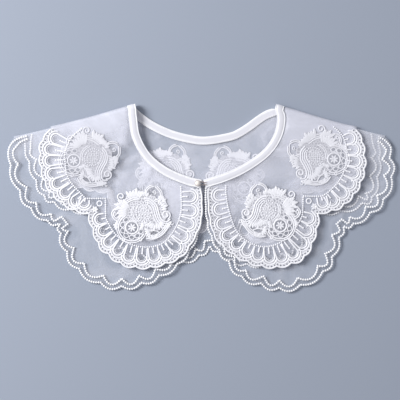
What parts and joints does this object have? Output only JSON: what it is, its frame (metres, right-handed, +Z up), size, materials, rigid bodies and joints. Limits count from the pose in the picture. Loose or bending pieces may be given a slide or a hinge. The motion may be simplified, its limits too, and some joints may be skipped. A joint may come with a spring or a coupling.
{
  "type": "collar",
  "caption": "Detachable double lace collar laid flat and folded at the shoulders: sheer scalloped layers with embroidered medallions, a bound neckline and a pearl button.",
  "frame": {"origin": "On the surface that the collar lies on, under the middle of its outline", "axes": "+X to the right across the collar as seen from above, +Y from the front edge towards the back of the neck, +Z up from the surface"},
  "size_m": [0.4649, 0.2257, 0.0139],
  "materials": {
    "under_organza": "sheer, soft sheen",
    "top_organza": "sheer, soft sheen",
    "satin_binding": "satin",
    "white_embroidery": "matte thread",
    "pearl": "glossy, pearly",
    "loop_thread": "matte thread"
  },
  "bodies": {
    "root": {"under_layer": "under_organza", "top_layer": "top_organza", "neck_binding": "satin_binding", "medallion_shoulder_left": "white_embroidery", "medallion_front_left": "white_embroidery", "medallion_front_right": "white_embroidery", "medallion_shoulder_right": "white_embroidery", "pearl_button": "pearl", "button_loop": "loop_thread", "lace_border_shoulder_left": "white_embroidery", "lace_border_front_left": "white_embroidery", "lace_border_shoulder_right": "white_embroidery", "lace_border_front_right": "white_embroidery", "beaded_hem_shoulder_left": "white_embroidery", "beaded_hem_front_left": "white_embroidery", "beaded_hem_shoulder_right": "white_embroidery", "beaded_hem_front_right": "white_embroidery"}
  },
  "joints": []
}
